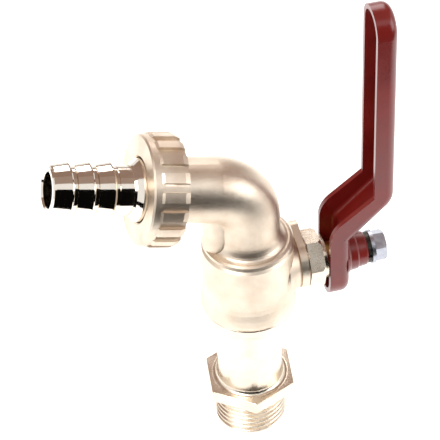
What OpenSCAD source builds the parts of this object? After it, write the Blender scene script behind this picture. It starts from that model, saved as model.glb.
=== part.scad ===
// Ball-valve bib tap with a hose union.
// Millimetres. Z runs up the inlet axis and the origin is the centre of the inlet end face.
// The stem leaves along +X, the spout leaves towards -X and rises above the horizontal.
// Threads are plain cylinders at their major diameter.

/* [Inlet connector] */
// Major radius of the G 1/2 inlet thread
inlet_thread_r = 10.48; // [10.3:0.01:10.6]
// Length of the inlet thread below the hexagon
inlet_thread_len = 13.2; // [10:0.1:18]
// Chamfer at the inlet end of the thread
inlet_chamfer = 1; // [0.5:0.1:1.6]
// Width of the hexagon across its flats
hex_af = 24.6; // [24:0.1:27]
// Height of the hexagon
hex_h = 4; // [3:0.1:6]
// Turn of the hexagon about the inlet axis
hex_turn = 23.3; // [0:0.1:60]
// Radius of the neck just under the collar
neck_r = 9.3; // [9:0.1:10.4]
// Radius of the neck at its foot, before the fillet
neck_foot_r = 9.7; // [9:0.1:10.6]
// Fillet between the neck and the hexagon
neck_fillet = 1.6; // [0.8:0.1:2.2]
// Height of the underside of the collar
collar_z = 43.4; // [41:0.1:44]
// Largest radius of the collar
collar_r = 13.45; // [12.8:0.05:13.7]
// Thickness of the fibre ring between the collar and the body
seal_t = 0.45; // [0.3:0.05:0.6]
// Radius of the waterway at the inlet mouth
inlet_bore_r = 7.2; // [6:0.1:7.8]
// Radius of the waterway above the step
waterway_r = 6.3; // [5.5:0.1:6.6]

/* [Ball chamber] */
// Height of the ball centre and of the stem axis
stem_z = 59.3; // [58.8:0.1:59.8]
// Radius of the ball
ball_r = 9.6; // [9:0.05:9.8]
// Radius of the hole through the ball
ball_bore_r = 5; // [4:0.1:6]
// Gap between the ball and the seats
ball_gap = 0.05; // [0.02:0.01:0.1]
// Radius of the chamber that holds the ball
chamber_r = 10.4; // [10.3:0.05:10.8]
// Radius of the hole through a seat
seat_bore_r = 5.6; // [5.2:0.1:6]
// Radius of the thread that joins the connector to the body
joint_thread_r = 11.8; // [11.4:0.1:12]

/* [Body] */
// Height of the lower face of the body
body_z = 48.2; // [47.6:0.1:48.6]
// Radius of the swell at the lower end of the body
swell_r = 13.95; // [13.7:0.05:14.4]
// Radius of the body beside the ball
body_r = 13.25; // [13:0.05:13.6]
// Height of the step under the shoulder ring
ring_z = 71.5; // [70.8:0.1:72.4]
// Radius of the shoulder ring
ring_r = 13.05; // [12.6:0.05:13.4]
// Width of the rib under the spout
rib_r = 5.2; // [4:0.1:6]

/* [Spout] */
// Height at which the spout axis meets the inlet axis
spout_z = 91.7; // [90:0.1:94]
// Rise of the spout above the horizontal
spout_tilt = 14.5; // [8:0.1:20]
// Centreline radius of the elbow
bend_r = 13; // [11:0.1:16]
// Outside radius of the elbow
elbow_r = 9.5; // [9:0.1:10]
// Outside radius of the spout behind the nut
spout_r = 9; // [8.8:0.1:9.8]
// Major radius of the G 3/4 outlet thread
outlet_thread_r = 13.2; // [13.1:0.01:13.3]
// Distance of the spout end from the inlet axis
spout_end = 27.3; // [26.8:0.1:27.8]
// Length of the outlet thread
outlet_thread_len = 4.9; // [4:0.1:6]

/* [Union nut] */
// Distance of the front face of the nut from the inlet axis
nut_face = 32.25; // [32.05:0.05:32.6]
// Length of the nut
nut_len = 10.4; // [9.5:0.1:11.5]
// Thickness of the front wall of the nut
nut_wall = 1.9; // [1.7:0.1:2.2]
// Radius over the ribs
nut_rib_r = 16.15; // [15.8:0.05:16.6]
// Radius between the ribs
nut_core_r = 15.05; // [14.8:0.05:15.3]
// Radius of the smooth front band
nut_band_r = 15.6; // [15.2:0.05:16]
// Length of the smooth front band
nut_band_len = 2.2; // [1.6:0.1:3]
// Number of ribs
nut_ribs = 18; // [14:1:24]
// Width of one rib
nut_rib_w = 2.9; // [2:0.1:3.6]
// Gap between the nut thread and the spout thread
nut_gap = 0.07; // [0.03:0.01:0.1]
// Radius of the hole in the front wall
nut_hole_r = 9.3; // [9.2:0.05:9.6]

/* [Hose tail] */
// Distance of the tail end from the inlet axis
tail_end = 58.5; // [54:0.1:62]
// Radius over the barbs
barb_r = 8.05; // [7.7:0.05:8.6]
// Radius of a barb at its thin end
barb_foot_r = 7.3; // [7.1:0.05:7.5]
// Radius of the groove behind a barb
root_r = 6.85; // [6.6:0.05:7]
// Width of the groove behind a barb
groove_w = 1.5; // [1.1:0.1:2]
// Distance from one barb to the next
barb_pitch = 6.1; // [5.6:0.1:6.4]
// Radius of the hole through the tail
tail_bore_r = 5.1; // [4.6:0.1:5.6]
// Radius of the tail where it passes the nut
tail_neck_r = 8.95; // [8.8:0.05:9.1]
// Radius of the flange held by the nut
tail_flange_r = 11.9; // [11:0.1:12.4]
// Thickness of that flange
tail_flange_t = 1.5; // [1.2:0.05:1.6]
// Gap between the flange and the nut
swivel_gap = 0.05; // [0.03:0.01:0.1]

/* [Stem and gland] */
// Radius of the stem
stem_r = 4; // [3.6:0.05:4.1]
// Running gap between the stem and what it turns in
stem_gap = 0.06; // [0.03:0.01:0.1]
// Distance of the boss end face from the inlet axis
boss_x = 16.6; // [16:0.1:16.8]
// Radius of the boss collar
boss_r = 7.7; // [7.3:0.1:8.4]
// Distance from the stem axis to the centre of the ear on the stop plate
ear_out = 8.6; // [7.4:0.1:9.2]
// Radius of the rounded end of that ear
ear_r = 3.2; // [2.6:0.1:3.6]
// Thickness of the stop plate
plate_t = 2.2; // [1.6:0.1:2.6]
// Radius of the packing chamber
packing_r = 6; // [5.6:0.1:6.2]
// Width of the gland nut across its flats
gland_af = 15; // [14:0.1:16]
// Distance of the back face of the gland hexagon from the inlet axis
gland_x = 16.95; // [16.8:0.05:17.2]
// Length of the gland hexagon
gland_hex_len = 4.4; // [3.6:0.1:4.6]
// Radius of the round part of the gland nut
gland_round_r = 6.4; // [6:0.1:6.6]
// Distance across the two flats at the stem end
stem_flats = 5.6; // [5.2:0.1:6]

/* [Lever] */
// Width of the lever
lever_w = 13.6; // [13:0.1:15]
// Thickness of the sheet
sheet_t = 1.5; // [1.2:0.1:1.7]
// Depth of the folded edge
lever_depth = 6.2; // [5.6:0.1:6.2]
// Outside radius of the folds
fold_r = 2.6; // [2.2:0.1:3]
// Distance of the outer face at the base from the inlet axis
base_x = 29.1; // [29.1:0.1:30]
// Height of the centre of the rounded base
base_z = 53.4; // [52:0.1:56]
// Height at which the lower bend starts
bend_low_z = 68.9; // [68:0.1:70]
// Radius of the lower bend on the outer face
low_bend_r = 1.2; // [0.8:0.1:2]
// Length of the straight slope between the two bends
slope_len = 14.57; // [13.5:0.01:16]
// Radius of the upper bend on the outer face
high_bend_r = 7; // [7:0.1:8]
// Length of the straight grip, up to the centre of its rounded tip
grip_len = 58; // [40:0.5:66]
// Distance of the end of the pressed cup from the inlet axis
cup_x = 35.1; // [34.6:0.1:35.4]
// Radius of the cup at its foot
cup_foot_r = 5.75; // [5.7:0.05:5.9]
// Radius of the cup at its end
cup_end_r = 5; // [4.9:0.05:5.2]

/* [Lever fixing] */
// Major radius of the lever bolt thread
bolt_r = 2.5; // [2.4:0.05:2.5]
// Width of the bolt head across its flats
bolt_af = 8; // [7.8:0.1:8.2]
// Height of the bolt head
bolt_head_h = 3.5; // [3:0.1:3.8]
// Thickness of the split spring washer
spring_t = 1.25; // [1:0.05:1.3]
// Thickness of the flat washer
washer_t = 1; // [0.8:0.1:1.1]
// Outside radius of the flat washer
washer_r = 5; // [4.8:0.1:5.2]

/* [Hidden] */
$fn = 96;
eps = 0.01;
hex_top = inlet_thread_len + hex_h;
collar_top = body_z - seal_t;
seat_foot = stem_z - 8.9;
seat_h = 3.6;
chamber_top = 2 * stem_z - seat_foot;
bend_angle = 90 - spout_tilt;
bend_run = bend_r * tan(bend_angle / 2);
bend_z = spout_z - bend_run;
nut_back = nut_face - nut_len;
nut_step = nut_face - nut_wall;
flange_top = nut_step - swivel_gap;
flange_foot = flange_top - tail_flange_t;
gasket_t = flange_foot - swivel_gap - spout_end;
tail_foot = nut_face + 0.75;
first_barb = tail_end - 5.7;
last_barb = first_barb - 2 * barb_pitch;
plate_x = boss_x - plate_t;
thrust_x = boss_x - 5.5;
web_x = boss_x - 4.9;
pack_x = boss_x - 3.7;
gland_thread_x = boss_x - 2.1;
slot_w = 3.3;
flats_x = base_x + 0.9;
bolt_hole_x = base_x - 5.1;
bolt_tip_x = base_x - 3.1;
slope = acos(0.702927);
deep = lever_depth + 2;
base_edge_x = base_x - lever_depth;
bend_rs = low_bend_r + high_bend_r;
grip_x = base_x + bend_rs * (1 - cos(slope)) + slope_len * sin(slope);
grip_z = bend_low_z + bend_rs * sin(slope) + slope_len * cos(slope);
grip_edge_x = grip_x - lever_depth;
edge_rise = 39.1;
edge_r = 9;
knee_z = grip_z - 0.4;
heel_z = knee_z - (grip_x - base_x) * tan(edge_rise) - edge_r * tan(45 - edge_rise / 2);
cup_floor_x = cup_x - sheet_t;
spring_x = cup_x;
washer_x = spring_x + spring_t;
head_x = washer_x + washer_t;

// Local Z becomes the stem axis, with its zero on the inlet axis.
module on_stem() {
    translate([0, 0, stem_z]) rotate([0, 90, 0]) children();
}

// Local Z becomes the spout axis, with its zero on the inlet axis.
module on_spout() {
    translate([0, 0, spout_z]) rotate([0, -bend_angle, 0]) children();
}

// A tube of the given radius that follows the elbow.
module elbow(r) {
    translate([-bend_r, 0, bend_z]) rotate([90, 0, 0])
        rotate_extrude(angle = bend_angle, $fn = 72) translate([bend_r, 0]) circle(r, $fn = 48);
}

// Points of a concave quarter, from (r0, z0) on the wide side to (r1, z1) on the narrow side.
function cove(r0, z0, r1, z1) =
    [for (i = [0:8]) let (a = i * 90 / 8) [r0 + (r1 - r0) * sin(a), z0 + (z1 - z0) * (1 - cos(a))]];

// Outline of the plate on the boss, whose ear stops the lever.
module stop_plate() {
    lean = acos((boss_r - ear_r) / ear_out);
    wide = 0.995 * boss_r;
    thin = 0.995 * ear_r;
    circle(boss_r);
    translate([ear_out, 0]) circle(ear_r);
    polygon([[wide * cos(lean), -wide * sin(lean)], [ear_out + thin * cos(lean), -thin * sin(lean)],
        [ear_out + thin * cos(lean), thin * sin(lean)], [wide * cos(lean), wide * sin(lean)]]);
}

module valve_body() {
    color([0.8, 0.76, 0.7]) difference() {
        union() {
            rotate_extrude() polygon(concat(
                [[0, body_z], [swell_r - 0.4, body_z], [swell_r, body_z + 0.4],
                 [swell_r, body_z + 1.6], [swell_r - 0.2, body_z + 3.4], [body_r + 0.15, body_z + 5.6],
                 [body_r, body_z + 7.4], [body_r, ring_z - 1], [body_r - 0.7, ring_z - 0.3],
                 [body_r - 0.8, ring_z], [ring_r - 0.2, ring_z + 0.2], [ring_r, ring_z + 0.6],
                 [ring_r - 0.2, ring_z + 1.3]],
                cove(ring_r - 0.9, ring_z + 1.7, elbow_r, ring_z + 6),
                [[elbow_r, bend_z], [elbow_r - 0.5, bend_z], [elbow_r - 0.5, bend_z + 0.6],
                 [0, bend_z + 0.6]]));
            elbow(elbow_r);
            on_spout() translate([0, 0, bend_run])
                cylinder(h = spout_end - bend_run, r1 = elbow_r, r2 = spout_r);
            on_spout() translate([0, 0, bend_run - 0.6]) cylinder(h = 1.2, r = elbow_r - 0.5);
            on_spout() translate([0, 0, spout_end - outlet_thread_len])
                cylinder(h = outlet_thread_len - 0.8, r = outlet_thread_r);
            on_spout() translate([0, 0, spout_end - 0.8])
                cylinder(h = 0.8, r1 = outlet_thread_r, r2 = outlet_thread_r - 0.8);
            translate([rib_r - ring_r, 0, ring_z + 0.6])
                cylinder(h = spout_z - ring_z - 6, r = rib_r);
            on_stem() rotate_extrude() polygon([[0, 6], [9.4, 6], [9.4, 10.4], [boss_r + 0.8, 12.2],
                [boss_r - 0.1, 13.8], [boss_r - 0.5, plate_x], [boss_r - 0.5, boss_x - 1], [0, boss_x - 1]]);
            on_stem() rotate([0, 0, 135]) translate([0, 0, plate_x]) linear_extrude(plate_t) stop_plate();
        }
        translate([0, 0, body_z - 1]) cylinder(h = seat_foot - body_z + 1, r = joint_thread_r + eps);
        translate([0, 0, seat_foot - 0.5]) cylinder(h = chamber_top - seat_foot + 0.5, r = chamber_r);
        union() {
            translate([0, 0, chamber_top - 1])
                cylinder(h = bend_z - chamber_top + 1, r = waterway_r);
            translate([0, 0, bend_z - 1]) cylinder(h = 1.6, r = waterway_r - 0.5);
            elbow(waterway_r);
            on_spout() translate([0, 0, bend_run - 0.6]) cylinder(h = 1.2, r = waterway_r - 0.5);
            on_spout() translate([0, 0, bend_run]) cylinder(h = spout_end, r = waterway_r);
        }
        on_stem() translate([0, 0, 5]) cylinder(h = web_x - 5, r = 5.25);
        on_stem() cylinder(h = 30, r = stem_r + stem_gap);
        on_stem() translate([0, 0, pack_x]) cylinder(h = 30, r = packing_r);
    }
}

module inlet_connector() {
    top = seat_foot;
    color([0.82, 0.78, 0.72]) difference() {
        union() {
            cylinder(h = inlet_chamfer, r1 = inlet_thread_r - inlet_chamfer, r2 = inlet_thread_r);
            translate([0, 0, inlet_chamfer])
                cylinder(h = inlet_thread_len - inlet_chamfer, r = inlet_thread_r);
            translate([0, 0, inlet_thread_len]) rotate([0, 0, hex_turn])
                cylinder(h = hex_h, r = hex_af / 2 / cos(30), $fn = 6);
            rotate_extrude() polygon(concat(
                [[0, hex_top - 1], [neck_foot_r + neck_fillet, hex_top - 1]],
                cove(neck_foot_r + neck_fillet, hex_top, neck_foot_r, hex_top + neck_fillet),
                [[neck_r, collar_z - 4]],
                [for (i = [8:-1:1]) let (a = i * 90 / 8) [collar_r - 1.3 - (collar_r - 1.3 - neck_r)
                    * sin(a), collar_z - 2.2 * (1 - cos(a))]],
                [[collar_r - 1.3, collar_z], [collar_r - 0.3, collar_z + 1],
                 [collar_r, collar_z + 2], [collar_r, collar_top - 0.3],
                 [collar_r - 0.3, collar_top], [0, collar_top]]));
            translate([0, 0, body_z - 1]) cylinder(h = top - body_z + 1, r = joint_thread_r);
        }
        translate([0, 0, -1]) cylinder(h = 32, r = inlet_bore_r);
        translate([0, 0, 31 - eps])
            cylinder(h = 1.5, r1 = inlet_bore_r, r2 = waterway_r - 0.4);
        translate([0, 0, 32]) cylinder(h = top - 31, r = waterway_r - 0.4);
    }
}

module connector_seal() {
    color([0.3, 0.28, 0.26]) translate([0, 0, collar_top]) difference() {
        cylinder(h = seal_t, r = collar_r - 0.7);
        translate([0, 0, -1]) cylinder(h = 3, r = joint_thread_r);
    }
}

module seat() {
    difference() {
        translate([0, 0, seat_foot]) cylinder(h = seat_h, r = chamber_r - 0.05);
        translate([0, 0, seat_foot - 1]) cylinder(h = seat_h + 2, r = seat_bore_r);
        translate([0, 0, stem_z]) sphere(r = ball_r + ball_gap);
    }
}

module inlet_seat() {
    color([0.93, 0.93, 0.9]) seat();
}

module outlet_seat() {
    color([0.93, 0.93, 0.9]) translate([0, 0, 2 * stem_z]) rotate([180, 0, 0]) seat();
}

module ball() {
    color([0.85, 0.85, 0.85]) translate([0, 0, stem_z]) difference() {
        sphere(r = ball_r);
        translate([0, 0, -20]) cylinder(h = 40, r = ball_bore_r);
        translate([7.15, -10, -slot_w / 2]) cube([5, 20, slot_w]);
    }
}

module stem() {
    color([0.83, 0.72, 0.45]) on_stem() difference() {
        union() {
            intersection() {
                translate([-slot_w / 2 + 0.05, -6, ball_r - 2.3])
                    cube([slot_w - 0.1, 12, thrust_x - ball_r + 1.5]);
                cylinder(h = 20, r = stem_r + 0.4);
            }
            translate([0, 0, ball_r + 0.15]) cylinder(h = thrust_x - ball_r - 0.15, r = stem_r + 1.1);
            translate([0, 0, thrust_x - eps]) cylinder(h = cup_floor_x - thrust_x, r = stem_r);
            intersection() {
                translate([0, 0, flats_x]) cylinder(h = cup_x - flats_x - 0.35, r = stem_r);
                translate([-stem_flats / 2, -10, flats_x]) cube([stem_flats, 20, 10]);
            }
        }
        translate([0, 0, bolt_hole_x]) cylinder(h = 20, r = bolt_r);
    }
}

module ring(x0, x1, r0, r1) {
    on_stem() translate([0, 0, x0]) difference() {
        cylinder(h = x1 - x0, r = r1);
        translate([0, 0, -1]) cylinder(h = x1 - x0 + 2, r = r0);
    }
}

module stem_thrust_washer() {
    color([0.93, 0.93, 0.9]) ring(thrust_x + 0.05, web_x, stem_r + stem_gap, 5.15);
}

module stem_packing() {
    color([0.93, 0.93, 0.9]) ring(pack_x, gland_thread_x, stem_r + stem_gap, packing_r - 0.05);
}

module gland_nut() {
    corner = gland_af / 2 / cos(30);
    end = gland_x + gland_hex_len;
    color([0.78, 0.72, 0.62]) on_stem() difference() {
        union() {
            translate([0, 0, gland_thread_x]) cylinder(h = gland_x - gland_thread_x + 1,
                r = packing_r - 0.01);
            intersection() {
                translate([0, 0, gland_x]) rotate([0, 0, 15])
                    cylinder(h = gland_hex_len, r = corner, $fn = 6);
                translate([0, 0, gland_x])
                    cylinder(h = gland_hex_len, r1 = corner + 2, r2 = corner - 0.6);
            }
            translate([0, 0, end - 1]) cylinder(h = 2.25, r = gland_round_r);
        }
        translate([0, 0, gland_thread_x - 1]) cylinder(h = 20, r = stem_r + stem_gap);
    }
}

// Outline of the folded sheet: its outer face lies on y = 0 and its edges at y = -d.
module channel_2d(d) {
    difference() {
        union() {
            translate([-lever_w / 2 + fold_r, -fold_r]) circle(fold_r);
            translate([lever_w / 2 - fold_r, -fold_r]) circle(fold_r);
            translate([-lever_w / 2 + fold_r, -fold_r])
                square([lever_w - 2 * fold_r, fold_r]);
            translate([-lever_w / 2, -d]) square([lever_w, d - fold_r]);
        }
        union() {
            translate([-lever_w / 2 + fold_r, -fold_r]) circle(fold_r - sheet_t);
            translate([lever_w / 2 - fold_r, -fold_r]) circle(fold_r - sheet_t);
            translate([-lever_w / 2 + fold_r, -fold_r - 1])
                square([lever_w - 2 * fold_r, fold_r - sheet_t + 1]);
            translate([-lever_w / 2 + sheet_t, -d - 1])
                square([lever_w - 2 * sheet_t, d - fold_r + 1]);
        }
    }
}

// A straight length of channel that starts at z = 0 with its outer face in the plane x = 0.
module channel(h) {
    linear_extrude(h) rotate([0, 0, -90]) channel_2d(deep);
}

// The half-round end of the channel; it closes the channel above z = 0.
module round_end() {
    rotate([90, 0, 90]) rotate_extrude(angle = 180) intersection() {
        channel_2d(deep);
        translate([0, -20]) square([20, 40]);
    }
}

// A bend about the Y axis that starts on the plane z = 0, on the +X side, and rises by
// the slope angle. Its child is the section, with x as the distance from the axis.
module bend() {
    intersection() {
        rotate([90, 0, 0]) rotate_extrude(angle = 80) children();
        rotate([0, -slope, 0]) translate([0, -10, -30]) cube([30, 20, 30]);
    }
}

// What is trimmed off behind the free edges, which are deeper along the slope.
module behind_edges() {
    rotate([90, 0, 0]) linear_extrude(40, center = true) polygon(concat(
        [[base_edge_x - 15, 30], [base_edge_x, 30]],
        [for (i = [0:12]) let (a = 180 - (90 - edge_rise) * i / 12)
            [base_edge_x + edge_r * (1 + cos(a)), heel_z + edge_r * sin(a)]],
        [[grip_edge_x, knee_z], [grip_edge_x, 170], [base_edge_x - 15, 170]]));
}

module lever() {
    color([0.6, 0.13, 0.1]) difference() {
        union() {
            translate([base_x, 0, base_z]) rotate([180, 0, 0]) round_end();
            translate([base_x, 0, base_z]) channel(bend_low_z - base_z);
            translate([base_x + low_bend_r, 0, bend_low_z]) {
                mirror([1, 0, 0]) bend() translate([low_bend_r, 0]) rotate(90)
                    channel_2d(deep);
                rotate([0, slope, 0]) {
                    translate([-low_bend_r, 0, 0]) channel(slope_len);
                    translate([-low_bend_r - high_bend_r, 0, slope_len]) {
                        bend() translate([high_bend_r, 0]) rotate(-90)
                            channel_2d(high_bend_r - 0.2);
                        rotate([0, -slope, 0]) translate([high_bend_r, 0, 0]) {
                            channel(grip_len);
                            translate([0, 0, grip_len]) round_end();
                        }
                    }
                }
            }
            on_stem() rotate_extrude() polygon([[cup_foot_r - 2.2, base_x - sheet_t],
                [cup_foot_r + 0.9, base_x - sheet_t / 2], [cup_foot_r + 0.5, base_x],
                [cup_foot_r, base_x + 0.6], [cup_foot_r - 0.15, base_x + 2.6],
                [cup_foot_r - 0.5, base_x + 3.1], [cup_end_r, cup_x - 0.5],
                [cup_end_r - 0.4, cup_x], [0, cup_x], [0, cup_x - 3]]);
        }
        behind_edges();
        on_stem() translate([0, 0, base_x - 6])
            cylinder(h = cup_floor_x - base_x + 6, r = stem_r + 0.2);
        on_stem() translate([0, 0, base_x - sheet_t - eps])
            cylinder(h = 1.2, r1 = stem_r + 0.9, r2 = stem_r + 0.2);
        intersection() {
            on_stem() cylinder(h = 60, r = stem_r + 0.02);
            translate([flats_x, -20, stem_z - stem_flats / 2 - 0.02])
                cube([cup_x - flats_x + 1, 40, stem_flats + 0.04]);
        }
    }
}

module spring_washer() {
    color([0.3, 0.3, 0.32]) difference() {
        ring(spring_x, washer_x, bolt_r + 0.1, 4.6);
        translate([spring_x - 1, -6, stem_z - 0.4]) rotate([18, 0, 0])
            cube([spring_t + 2, 6, 0.8]);
    }
}

module flat_washer() {
    color([0.8, 0.83, 0.82]) ring(washer_x, head_x, bolt_r + 0.15, washer_r);
}

module lever_bolt() {
    corner = bolt_af / 2 / cos(30);
    color([0.62, 0.62, 0.67]) on_stem() union() {
        translate([0, 0, bolt_tip_x]) cylinder(h = head_x - bolt_tip_x + 1, r = bolt_r - 0.02);
        intersection() {
            translate([0, 0, head_x]) cylinder(h = bolt_head_h, r = corner, $fn = 6);
            translate([0, 0, head_x]) cylinder(h = bolt_head_h, r1 = corner + 3, r2 = corner - 0.45);
        }
    }
}

module union_gasket() {
    color([0.12, 0.12, 0.12]) on_spout() translate([0, 0, spout_end]) difference() {
        cylinder(h = gasket_t, r = outlet_thread_r - 0.6);
        translate([0, 0, -1]) cylinder(h = gasket_t + 2, r = waterway_r + 0.4);
    }
}

module union_nut() {
    color([0.78, 0.72, 0.66]) on_spout() difference() {
        union() {
            translate([0, 0, nut_back]) cylinder(h = nut_len - nut_band_len, r = nut_core_r);
            translate([0, 0, nut_face - nut_band_len - 0.4])
                cylinder(h = nut_band_len - 0.1, r = nut_band_r);
            translate([0, 0, nut_face - 0.5])
                cylinder(h = 0.5, r1 = nut_band_r, r2 = nut_band_r - 0.5);
            intersection() {
                union() {
                    for (i = [0:nut_ribs - 1]) rotate([0, 0, i * 360 / nut_ribs + 3])
                        translate([nut_core_r - 2, -nut_rib_w / 2, nut_back])
                            cube([5, nut_rib_w, nut_len - nut_band_len]);
                }
                translate([0, 0, nut_back])
                    cylinder(h = nut_len, r1 = nut_rib_r - 0.6, r2 = nut_rib_r + 3.4);
                translate([0, 0, nut_back]) cylinder(h = nut_len, r = nut_rib_r);
                translate([0, 0, nut_back]) cylinder(h = nut_len - nut_band_len,
                    r1 = nut_rib_r + 5.6, r2 = nut_rib_r - 0.5);
            }
        }
        translate([0, 0, nut_back - 1])
            cylinder(h = nut_len - nut_wall + 1, r = outlet_thread_r + nut_gap);
        translate([0, 0, nut_back - 1]) cylinder(h = 40, r = nut_hole_r);
        translate([0, 0, nut_face - 0.4]) cylinder(h = 1, r1 = nut_hole_r, r2 = nut_hole_r + 1);
    }
}

// One barb, from its thin end to the groove behind it; s is where its crest ends.
function barb(s, run) = [[barb_foot_r, s + run], [barb_r - 0.1, s + 0.7], [barb_r, s + 0.35],
                         [barb_r - 0.1, s + 0.1], [root_r + 0.1, s - 0.3], [root_r, s - 0.5],
                         [root_r, s - groove_w + 0.2]];

module hose_tail() {
    run = barb_pitch - groove_w;
    color([0.86, 0.86, 0.85]) on_spout() rotate_extrude() polygon(concat(
        [[tail_bore_r + 0.5, tail_end], [root_r - 0.2, tail_end], [barb_foot_r - 0.15, tail_end - 0.35]],
        barb(first_barb, tail_end - first_barb - 0.9),
        barb(first_barb - barb_pitch, run),
        barb(last_barb, run),
        [[root_r + 0.2, last_barb - groove_w], [root_r + 0.2, tail_foot + 2.1],
         [root_r + 0.55, tail_foot + 1.5], [tail_neck_r - 0.75, tail_foot + 0.75],
         [tail_neck_r, tail_foot], [tail_neck_r, flange_top], [tail_flange_r, flange_top],
         [tail_flange_r, flange_foot], [waterway_r, flange_foot], [tail_bore_r, tail_foot + 0.5],
         [tail_bore_r, tail_end - 0.5]]));
}

valve_body();
inlet_connector();
connector_seal();
inlet_seat();
outlet_seat();
ball();
stem();
stem_thrust_washer();
stem_packing();
gland_nut();
lever();
spring_washer();
flat_washer();
lever_bolt();
union_gasket();
union_nut();
hose_tail();
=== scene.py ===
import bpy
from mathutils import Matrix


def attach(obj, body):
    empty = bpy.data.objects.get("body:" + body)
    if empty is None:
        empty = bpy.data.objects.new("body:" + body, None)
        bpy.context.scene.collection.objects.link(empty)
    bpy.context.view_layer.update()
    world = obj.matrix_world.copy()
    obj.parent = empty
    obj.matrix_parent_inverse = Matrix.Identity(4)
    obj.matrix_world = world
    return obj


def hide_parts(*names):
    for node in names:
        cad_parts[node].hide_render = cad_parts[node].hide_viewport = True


bl_info = {
    "name": "Ball Valve Tap Looks",
    "version": (1, 0, 0),
    "blender": (4, 5, 0),
    "location": "View3D > Sidebar > Tap",
    "description": "Dresses the packed ball valve tap: threads, softened castings and finishes",
    "category": "Object",
}

from math import atan2, cos, exp, pi, radians, sin

import bmesh
import bpy
from bpy.props import FloatProperty, PointerProperty
from mathutils import Matrix, Vector

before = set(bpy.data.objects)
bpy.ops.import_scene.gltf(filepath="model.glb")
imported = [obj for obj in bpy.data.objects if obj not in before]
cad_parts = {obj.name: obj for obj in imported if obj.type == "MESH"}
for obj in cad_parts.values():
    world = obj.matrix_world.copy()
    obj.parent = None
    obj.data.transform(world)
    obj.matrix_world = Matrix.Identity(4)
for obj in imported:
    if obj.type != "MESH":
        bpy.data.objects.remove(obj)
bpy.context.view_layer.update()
MM = 0.001

# The camera found for the photograph: its lens in pixels, its place and its turn in degrees.
PHOTO_PX = 440
LENS_PX = 2999
CAMERA_AT = (-0.15062066, -0.59126009, 0.67384373)
CAMERA_TURN = (45.765367, 1.170181, -14.715099)


# Settings


class TapSizes(bpy.types.PropertyGroup):
    """Sizes of the parts that are finished here, in metres."""

    pitch: FloatProperty(
        name="Inlet thread pitch",
        description="Advance of the G 1/2 thread in one turn",
        default=1.814 * MM,
        unit="LENGTH",
        precision=6,
    )
    tooth: FloatProperty(
        name="Inlet thread depth",
        description="Height of one thread tooth from root to crest",
        default=1.0 * MM,
        unit="LENGTH",
        precision=6,
    )
    seam: FloatProperty(
        name="Mould seam",
        description="Height of the seam that the mould leaves on the castings",
        default=0.12 * MM,
        unit="LENGTH",
        precision=6,
    )


# Materials


def linear(code):
    """sRGB hex to a linear colour with alpha."""
    parts = [int(code[i : i + 2], 16) / 255 for i in (1, 3, 5)]
    return [c / 12.92 if c <= 0.04045 else ((c + 0.055) / 1.055) ** 2.4 for c in parts] + [1.0]


def add_node(tree, kind, settings=None, links=None):
    """Adds one node; settings name its inputs or its attributes, links feed its inputs."""
    node = tree.nodes.new(kind)
    for name, value in (settings or {}).items():
        if isinstance(name, int) or name in node.inputs:
            node.inputs[name].default_value = value
        else:
            setattr(node, name, value)
    for name, socket in (links or {}).items():
        tree.links.new(socket, node.inputs[name])
    return node


def new_finish(name):
    """A material with its shader, its output and the Object coordinates of the piece."""
    material = bpy.data.materials.new(name)
    material.use_nodes = True
    tree = material.node_tree
    tree.nodes.clear()
    shader = add_node(tree, "ShaderNodeBsdfPrincipled")
    add_node(tree, "ShaderNodeOutputMaterial", None, {"Surface": shader.outputs["BSDF"]})
    place = add_node(tree, "ShaderNodeTexCoord").outputs["Object"]
    return material, tree, shader, place


def two_tone(tree, factor, first, second, low=0.35, high=0.65):
    """Colour between two hex values, driven by a noise between low and high."""
    mask = add_node(
        tree, "ShaderNodeMapRange", {"From Min": low, "From Max": high}, {"Value": factor}
    )
    mix = add_node(tree, "ShaderNodeMix", {"data_type": "RGBA"})
    mix.inputs[6].default_value = linear(first)
    mix.inputs[7].default_value = linear(second)
    tree.links.new(mask.outputs[0], mix.inputs[0])
    return mix.outputs[2]


def spread(tree, factor, low, high):
    """Turns a 0 to 1 noise into a value between low and high."""
    node = add_node(
        tree, "ShaderNodeMapRange", {"From Min": 0.3, "From Max": 0.7, "To Min": low, "To Max": high},
        {"Value": factor},
    )
    return node.outputs[0]


def blasted_nickel():
    # Brass casting, sand-blasted and nickel plated: warm silky metal with a fine grain.
    # The grit is about 0.2 mm and is drawn at 0.45 mm so that it shows in the render.
    material, tree, shader, place = new_finish("nickel_cast")
    shader.inputs["Metallic"].default_value = 1.0
    grain = add_node(tree, "ShaderNodeTexNoise", {"Scale": 1 / 0.00045, "Detail": 3.0}, {"Vector": place})
    cloud = add_node(tree, "ShaderNodeTexNoise", {"Scale": 1 / 0.009, "Detail": 4.0}, {"Vector": place})
    colour = two_tone(tree, cloud.outputs[0], "#D9C7B4", "#EADDCB")
    tree.links.new(colour, shader.inputs["Base Color"])
    tree.links.new(spread(tree, grain.outputs[0], 0.34, 0.5), shader.inputs["Roughness"])
    bump = add_node(tree, "ShaderNodeBump", {"Strength": 0.5, "Distance": 0.00006},
                    {"Height": grain.outputs[0]})
    tree.links.new(bump.outputs[0], shader.inputs["Normal"])
    return material


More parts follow.
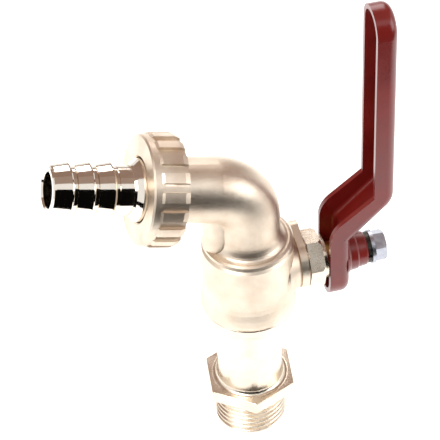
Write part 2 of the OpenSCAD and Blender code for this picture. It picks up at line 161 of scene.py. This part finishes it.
def turned_nickel():
    # Machined brass, nickel plated: smoother than the casting, with a faint grain.
    material, tree, shader, place = new_finish("nickel_turned")
    shader.inputs["Metallic"].default_value = 1.0
    cloud = add_node(tree, "ShaderNodeTexNoise", {"Scale": 1 / 0.005, "Detail": 5.0}, {"Vector": place})
    grain = add_node(tree, "ShaderNodeTexNoise", {"Scale": 1 / 0.0005, "Detail": 2.0}, {"Vector": place})
    tree.links.new(two_tone(tree, cloud.outputs[0], "#E3D4C1", "#EFE3D2"), shader.inputs["Base Color"])
    tree.links.new(spread(tree, cloud.outputs[0], 0.2, 0.32), shader.inputs["Roughness"])
    bump = add_node(tree, "ShaderNodeBump", {"Strength": 0.25, "Distance": 0.00004},
                    {"Height": grain.outputs[0]})
    tree.links.new(bump.outputs[0], shader.inputs["Normal"])
    return material


def bright_nickel():
    # Turned and polished brass with bright nickel: a near mirror with slight smears.
    material, tree, shader, place = new_finish("nickel_bright")
    shader.inputs["Metallic"].default_value = 1.0
    cloud = add_node(tree, "ShaderNodeTexNoise", {"Scale": 1 / 0.006, "Detail": 4.0}, {"Vector": place})
    tree.links.new(two_tone(tree, cloud.outputs[0], "#E9DFD2", "#F1E9DE"), shader.inputs["Base Color"])
    tree.links.new(spread(tree, cloud.outputs[0], 0.05, 0.12), shader.inputs["Roughness"])
    return material


def red_enamel():
    # Stove enamel over pressed steel: deep red gloss with a slight orange peel.
    material, tree, shader, place = new_finish("red_enamel")
    cloud = add_node(tree, "ShaderNodeTexNoise", {"Scale": 1 / 0.012, "Detail": 3.0}, {"Vector": place})
    peel = add_node(tree, "ShaderNodeTexNoise", {"Scale": 1 / 0.0011, "Detail": 1.5}, {"Vector": place})
    tree.links.new(two_tone(tree, cloud.outputs[0], "#6A100B", "#7A1710"), shader.inputs["Base Color"])
    tree.links.new(spread(tree, cloud.outputs[0], 0.26, 0.36), shader.inputs["Roughness"])
    shader.inputs["Coat Weight"].default_value = 0.35
    shader.inputs["Coat Roughness"].default_value = 0.18
    bump = add_node(tree, "ShaderNodeBump", {"Strength": 0.25, "Distance": 0.00004},
                    {"Height": peel.outputs[0]})
    tree.links.new(bump.outputs[0], shader.inputs["Normal"])
    return material


def plain_metal(name, first, second, rough_low, rough_high, size):
    material, tree, shader, place = new_finish(name)
    shader.inputs["Metallic"].default_value = 1.0
    cloud = add_node(tree, "ShaderNodeTexNoise", {"Scale": 1 / size, "Detail": 4.0}, {"Vector": place})
    tree.links.new(two_tone(tree, cloud.outputs[0], first, second), shader.inputs["Base Color"])
    tree.links.new(spread(tree, cloud.outputs[0], rough_low, rough_high), shader.inputs["Roughness"])
    bump = add_node(tree, "ShaderNodeBump", {"Strength": 0.2, "Distance": 0.00003},
                    {"Height": cloud.outputs[0]})
    tree.links.new(bump.outputs[0], shader.inputs["Normal"])
    return material


def plain_polymer(name, first, second, rough, size):
    material, tree, shader, place = new_finish(name)
    cloud = add_node(tree, "ShaderNodeTexNoise", {"Scale": 1 / size, "Detail": 4.0}, {"Vector": place})
    tree.links.new(two_tone(tree, cloud.outputs[0], first, second), shader.inputs["Base Color"])
    shader.inputs["Roughness"].default_value = rough
    return material


FINISHES = {}
NODE_FINISH = {
    "valve_body": "nickel_cast",
    "inlet_connector": "nickel_turned",
    "connector_seal": "seal_fibre",
    "inlet_seat": "seat_plastic",
    "outlet_seat": "seat_plastic",
    "ball": "ball_chrome",
    "stem": "stem_brass",
    "stem_thrust_washer": "seat_plastic",
    "stem_packing": "seat_plastic",
    "gland_nut": "nickel_turned",
    "lever": "red_enamel",
    "spring_washer": "dark_steel",
    "flat_washer": "zinc_steel",
    "lever_bolt": "zinc_steel",
    "union_gasket": "gasket_rubber",
    "union_nut": "nickel_cast",
    "hose_tail": "nickel_bright",
}


def make_finishes():
    FINISHES["nickel_cast"] = blasted_nickel()
    FINISHES["nickel_turned"] = turned_nickel()
    FINISHES["nickel_bright"] = bright_nickel()
    FINISHES["red_enamel"] = red_enamel()
    FINISHES["ball_chrome"] = plain_metal("ball_chrome", "#D8DADC", "#E6E7E8", 0.05, 0.1, 0.004)
    FINISHES["stem_brass"] = plain_metal("stem_brass", "#C9A45E", "#D8B875", 0.22, 0.34, 0.003)
    FINISHES["zinc_steel"] = plain_metal("zinc_steel", "#A9ABB6", "#BFC2CB", 0.28, 0.42, 0.0015)
    FINISHES["dark_steel"] = plain_metal("dark_steel", "#3A3834", "#55524C", 0.35, 0.5, 0.001)
    FINISHES["seat_plastic"] = plain_polymer("seat_plastic", "#ECEAE2", "#F4F2EC", 0.4, 0.003)
    FINISHES["seal_fibre"] = plain_polymer("seal_fibre", "#3E342C", "#54483C", 0.75, 0.0008)
    FINISHES["gasket_rubber"] = plain_polymer("gasket_rubber", "#1B1A19", "#262422", 0.6, 0.002)


def show(mesh_maker, name, body, node, slot, smooth=40):
    """Turns a bmesh into a piece that rides on a body and stands for a CAD node."""
    mesh = bpy.data.meshes.new(name)
    mesh_maker.to_mesh(mesh)
    mesh_maker.free()
    piece = bpy.data.objects.new(name, mesh)
    bpy.context.scene.collection.objects.link(piece)
    mesh.materials.append(FINISHES[slot])
    mesh.shade_smooth()
    mesh.set_sharp_from_angle(angle=radians(smooth))
    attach(piece, body)
    if node:
        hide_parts(node)
    return piece


def profile(mesh, points, closed=False):
    """A polyline of (radius, height) points in the XZ plane."""
    verts = [mesh.verts.new((r, 0, z)) for r, z in points]
    edges = [mesh.edges.new((a, b)) for a, b in zip(verts, verts[1:])]
    if closed:
        edges.append(mesh.edges.new((verts[-1], verts[0])))
    return verts + edges


def lathe(points, steps, closed=True):
    """A full turn of a profile about Z."""
    mesh = bmesh.new()
    bmesh.ops.spin(
        mesh, geom=profile(mesh, points, closed), axis=(0, 0, 1), cent=(0, 0, 0),
        angle=2 * pi, steps=steps, use_merge=True,
    )
    bmesh.ops.remove_doubles(mesh, verts=mesh.verts, dist=1e-7)
    bmesh.ops.recalc_face_normals(mesh, faces=mesh.faces)
    return mesh


def rounded(points, radius=0.2, steps=3):
    """Rounds each corner of an open profile given in millimetres."""
    out = [points[0]]
    for before, at, after in zip(points, points[1:], points[2:]):
        a, b, c = Vector(before), Vector(at), Vector(after)
        back, ahead = a - b, c - b
        reach = min(radius, back.length * 0.45, ahead.length * 0.45)
        if back.length < 1e-6 or ahead.length < 1e-6 or reach < 0.01:
            out.append(tuple(b))
            continue
        p, q = b + back.normalized() * reach, b + ahead.normalized() * reach
        for i in range(steps + 1):
            t = i / steps
            out.append(tuple((1 - t) ** 2 * p + 2 * t * (1 - t) * b + t * t * q))
    out.append(points[-1])
    return out


# Pieces


def whitworth(phase):
    """Depth of a rounded 55 degree thread, 0 at the crest and 1 at the root."""
    t = abs((phase % 1.0) - 0.5) * 2
    return 0.5 - 0.5 * sin(max(-1, min(1, (t - 0.5) * 2.3)) * pi / 2)


class TAP_OT_inlet_connector(bpy.types.Operator):
    """Inlet connector with its cut thread, softened hexagon, neck with a mould seam, and collar"""

    bl_idname = "tap.inlet_connector"
    bl_label = "Inlet Connector"

    def execute(self, context):
        sizes = context.scene.tap_sizes
        outer = [(10.48, z * 13.2 / 132) for z in range(2, 133)]
        outer = [(9.2, 0.0), (9.48, 0.0)] + outer
        outer += rounded(
            [(10.48, 13.3), (11.3, 13.35), (11.3, 17.1)], 0.1
        )[1:]
        cove = [(11.3 - 1.6 * sin(a * pi / 20), 17.2 + 1.6 * (1 - cos(a * pi / 20))) for a in range(11)]
        flare = [
            (12.15 - 2.85 * sin(a * pi / 20), 43.4 - 2.2 * (1 - cos(a * pi / 20))) for a in range(10, -1, -1)
        ]
        neck = [(9.7 - 0.4 * t / 8, 18.8 + 20.8 * t / 8) for t in range(1, 8)]
        collar = rounded(
            [flare[-1], (13.15, 44.4), (13.45, 45.4), (13.45, 47.45), (13.15, 47.75), (11.8, 47.75), (11.8, 50.4)],
            0.25
        )[1:]
        bore = [(5.9, 50.4), (5.9, 32.5), (7.2, 31.0), (7.2, 0.3), (7.5, 0.0)]
        points = [(r * MM, z * MM) for r, z in outer + cove + neck + flare + collar + bore]
        mesh = lathe(points, 160)
        for vert in mesh.verts:
            radius = vert.co.xy.length
            height = vert.co.z
            turn = atan2(vert.co.y, vert.co.x)
            if radius > 10.4 * MM and 0.1 * MM < height < 13.25 * MM:
                depth = sizes.tooth * whitworth(height / sizes.pitch - turn / (2 * pi))
                depth *= max(0.0, min(1.0, (12.9 * MM - height) / (1.3 * MM)))
                crest = min(radius, 9.55 * MM + height * 0.95)
                vert.co.xy *= min(radius - depth, crest) / radius
            elif 9 * MM < radius < 11 * MM and 17.3 * MM < height < 43 * MM:
                off = radius * abs(abs(turn) - pi / 2)
                vert.co.xy *= 1 + sizes.seam * exp(-((off / (0.5 * MM)) ** 2)) / radius
        hexagon = bmesh.ops.create_cone(
            mesh, cap_ends=True, segments=6, radius1=14.2 * MM, radius2=14.2 * MM, depth=4 * MM,
            matrix=Matrix.Translation((0, 0, 15.2 * MM)) @ Matrix.Rotation(radians(23.3 - 90), 4, "Z"),
        )["verts"]
        edges = {e for v in hexagon for e in v.link_edges}
        bmesh.ops.bevel(
            mesh, geom=list(edges), offset=0.35 * MM, segments=3, profile=0.5, affect="EDGES",
            material=-1, clamp_overlap=True,
        )
        show(mesh, "inlet_connector_cut", "valve", "inlet_connector", "nickel_turned", 35)
        return {"FINISHED"}


class TAP_OT_finishes(bpy.types.Operator):
    """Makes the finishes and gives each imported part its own"""

    bl_idname = "tap.finishes"
    bl_label = "Finishes"

    def execute(self, context):
        make_finishes()
        for name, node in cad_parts.items():
            node.data.materials.clear()
            node.data.materials.append(FINISHES[NODE_FINISH[name]])
            node.data.shade_smooth()
            node.data.set_sharp_from_angle(angle=radians(30))
        return {"FINISHED"}


# Stage


def card(name, corners, colour, strength):
    """A glowing card that only reflections see: it paints a dark or dim reflection into the metal and lights
    nothing.
    """
    mesh = bmesh.new()
    mesh.faces.new([mesh.verts.new(c) for c in corners])
    data = bpy.data.meshes.new(name)
    mesh.to_mesh(data)
    mesh.free()
    obj = bpy.data.objects.new(name, data)
    bpy.context.scene.collection.objects.link(obj)
    material = bpy.data.materials.new(name)
    material.use_nodes = True
    tree = material.node_tree
    tree.nodes.clear()
    glow = add_node(tree, "ShaderNodeEmission", {"Color": linear(colour), "Strength": strength})
    add_node(tree, "ShaderNodeOutputMaterial", None, {"Surface": glow.outputs[0]})
    data.materials.append(material)
    obj.visible_camera = False
    obj.visible_diffuse = False
    obj.visible_shadow = False
    obj.visible_transmission = False
    return obj


class TAP_OT_stage(bpy.types.Operator):
    """Camera, pale floor, soft lamps, white surroundings and glowing cards that paint reflections"""

    bl_idname = "tap.stage"
    bl_label = "Stage"

    def execute(self, context):
        scene = context.scene
        camera = bpy.data.cameras.new("camera")
        camera.sensor_width = 36
        camera.lens = LENS_PX / PHOTO_PX * camera.sensor_width
        camera.clip_start = 0.05
        seat = bpy.data.objects.new("camera", camera)
        seat.location = CAMERA_AT
        seat.rotation_euler = [radians(turn) for turn in CAMERA_TURN]
        scene.collection.objects.link(seat)
        scene.camera = seat
        scene.view_settings.view_transform = "Standard"

        world = bpy.data.worlds.new("studio")
        scene.world = world
        world.use_nodes = True
        tree = world.node_tree
        tree.nodes.clear()
        path = add_node(tree, "ShaderNodeLightPath")
        direct = add_node(tree, "ShaderNodeMath", {"operation": "MAXIMUM"},
                          {0: path.outputs["Is Camera Ray"], 1: path.outputs["Is Glossy Ray"]})
        seen = add_node(tree, "ShaderNodeMath", {"operation": "MAXIMUM"},
                        {0: direct.outputs[0], 1: path.outputs["Is Transmission Ray"]})
        level = add_node(tree, "ShaderNodeMapRange", {"To Min": 0.55, "To Max": 1.0},
                         {"Value": seen.outputs[0]})
        glow = add_node(tree, "ShaderNodeBackground", {"Color": (1, 1, 1, 1)},
                        {"Strength": level.outputs[0]})
        add_node(tree, "ShaderNodeOutputWorld", None, {"Surface": glow.outputs[0]})

        floor_mesh = bmesh.new()
        bmesh.ops.create_grid(floor_mesh, x_segments=1, y_segments=1, size=1.5,
                              matrix=Matrix.Translation((0, 0, -0.0002)))
        data = bpy.data.meshes.new("floor")
        floor_mesh.to_mesh(data)
        floor_mesh.free()
        floor = bpy.data.objects.new("floor", data)
        scene.collection.objects.link(floor)
        material, tree, shader, place = new_finish("floor_paper")
        shader.inputs["Base Color"].default_value = linear("#F4F3F1")
        shader.inputs["Roughness"].default_value = 0.9
        path = add_node(tree, "ShaderNodeLightPath")
        direct = add_node(tree, "ShaderNodeMath", {"operation": "MAXIMUM"},
                          {0: path.outputs["Is Camera Ray"], 1: path.outputs["Is Glossy Ray"]})
        white = add_node(tree, "ShaderNodeEmission", {"Color": (1, 1, 1, 1), "Strength": 0.62})
        mix = add_node(tree, "ShaderNodeMixShader", None,
                       {0: direct.outputs[0], 1: shader.outputs[0]})
        both = add_node(tree, "ShaderNodeAddShader", None, {0: shader.outputs[0], 1: white.outputs[0]})
        tree.links.new(both.outputs[0], mix.inputs[2])
        out = next(n for n in tree.nodes if n.type == "OUTPUT_MATERIAL")
        tree.links.new(mix.outputs[0], out.inputs["Surface"])
        data.materials.append(material)

        for name, where, size, watts in (
            ("key", (-0.5, -0.35, 0.9), 0.5, 6.0),
            ("fill", (0.75, -0.45, 0.45), 0.6, 3.0),
            ("rim", (0.1, 0.8, 0.7), 0.6, 4.0),
        ):
            lamp = bpy.data.lights.new(name, "AREA")
            lamp.shape = "SQUARE"
            lamp.size = size
            lamp.energy = watts
            holder = bpy.data.objects.new(name, lamp)
            holder.location = where
            holder.rotation_euler = (Vector(where) - Vector((0, 0, 0.08))).to_track_quat("Z", "Y").to_euler()
            scene.collection.objects.link(holder)

        # Painted reflections: near-black cards on the near side and dim warm cards above and behind, seen only in
        # the metal.
        card("dark_front_low", [(-1.4, -0.13, 0.001), (1.4, -0.13, 0.001), (1.4, -1.0, 0.001), (-1.4, -1.0, 0.001)],
             "#0A0908", 1.0)
        card("dark_front", [(-1.4, -1.0, 0.0), (1.4, -1.0, 0.0), (1.4, -0.9, 0.95), (-1.4, -0.9, 0.95)],
             "#0A0908", 1.0)
        card("dim_back", [(-1.5, 1.1, 0.3), (1.5, 1.1, 0.3), (1.5, 0.2, 1.5), (-1.5, 0.2, 1.5)],
             "#9C8376", 1.0)
        card("dim_top", [(-1.5, 0.2, 1.5), (1.5, 0.2, 1.5), (1.5, -0.6, 1.5), (-1.5, -0.6, 1.5)],
             "#A99488", 1.0)
        return {"FINISHED"}


class TAP_PT_panel(bpy.types.Panel):
    """Lists the steps of the tap"""

    bl_label = "Ball Valve Tap"
    bl_idname = "TAP_PT_panel"
    bl_space_type = "VIEW_3D"
    bl_region_type = "UI"
    bl_category = "Tap"

    def draw(self, context):
        for step in STEPS:
            self.layout.operator(step.bl_idname)


STEPS = (TAP_OT_finishes, TAP_OT_inlet_connector, TAP_OT_stage)
CLASSES = (TapSizes,) + STEPS + (TAP_PT_panel,)


def register():
    for cls in CLASSES:
        bpy.utils.register_class(cls)
    bpy.types.Scene.tap_sizes = PointerProperty(type=TapSizes)


def unregister():
    del bpy.types.Scene.tap_sizes
    for cls in reversed(CLASSES):
        bpy.utils.unregister_class(cls)


def main():
    register()
    bpy.ops.tap.finishes()
    bpy.ops.tap.inlet_connector()
    bpy.ops.tap.stage()


if __name__ == "__main__":
    main()
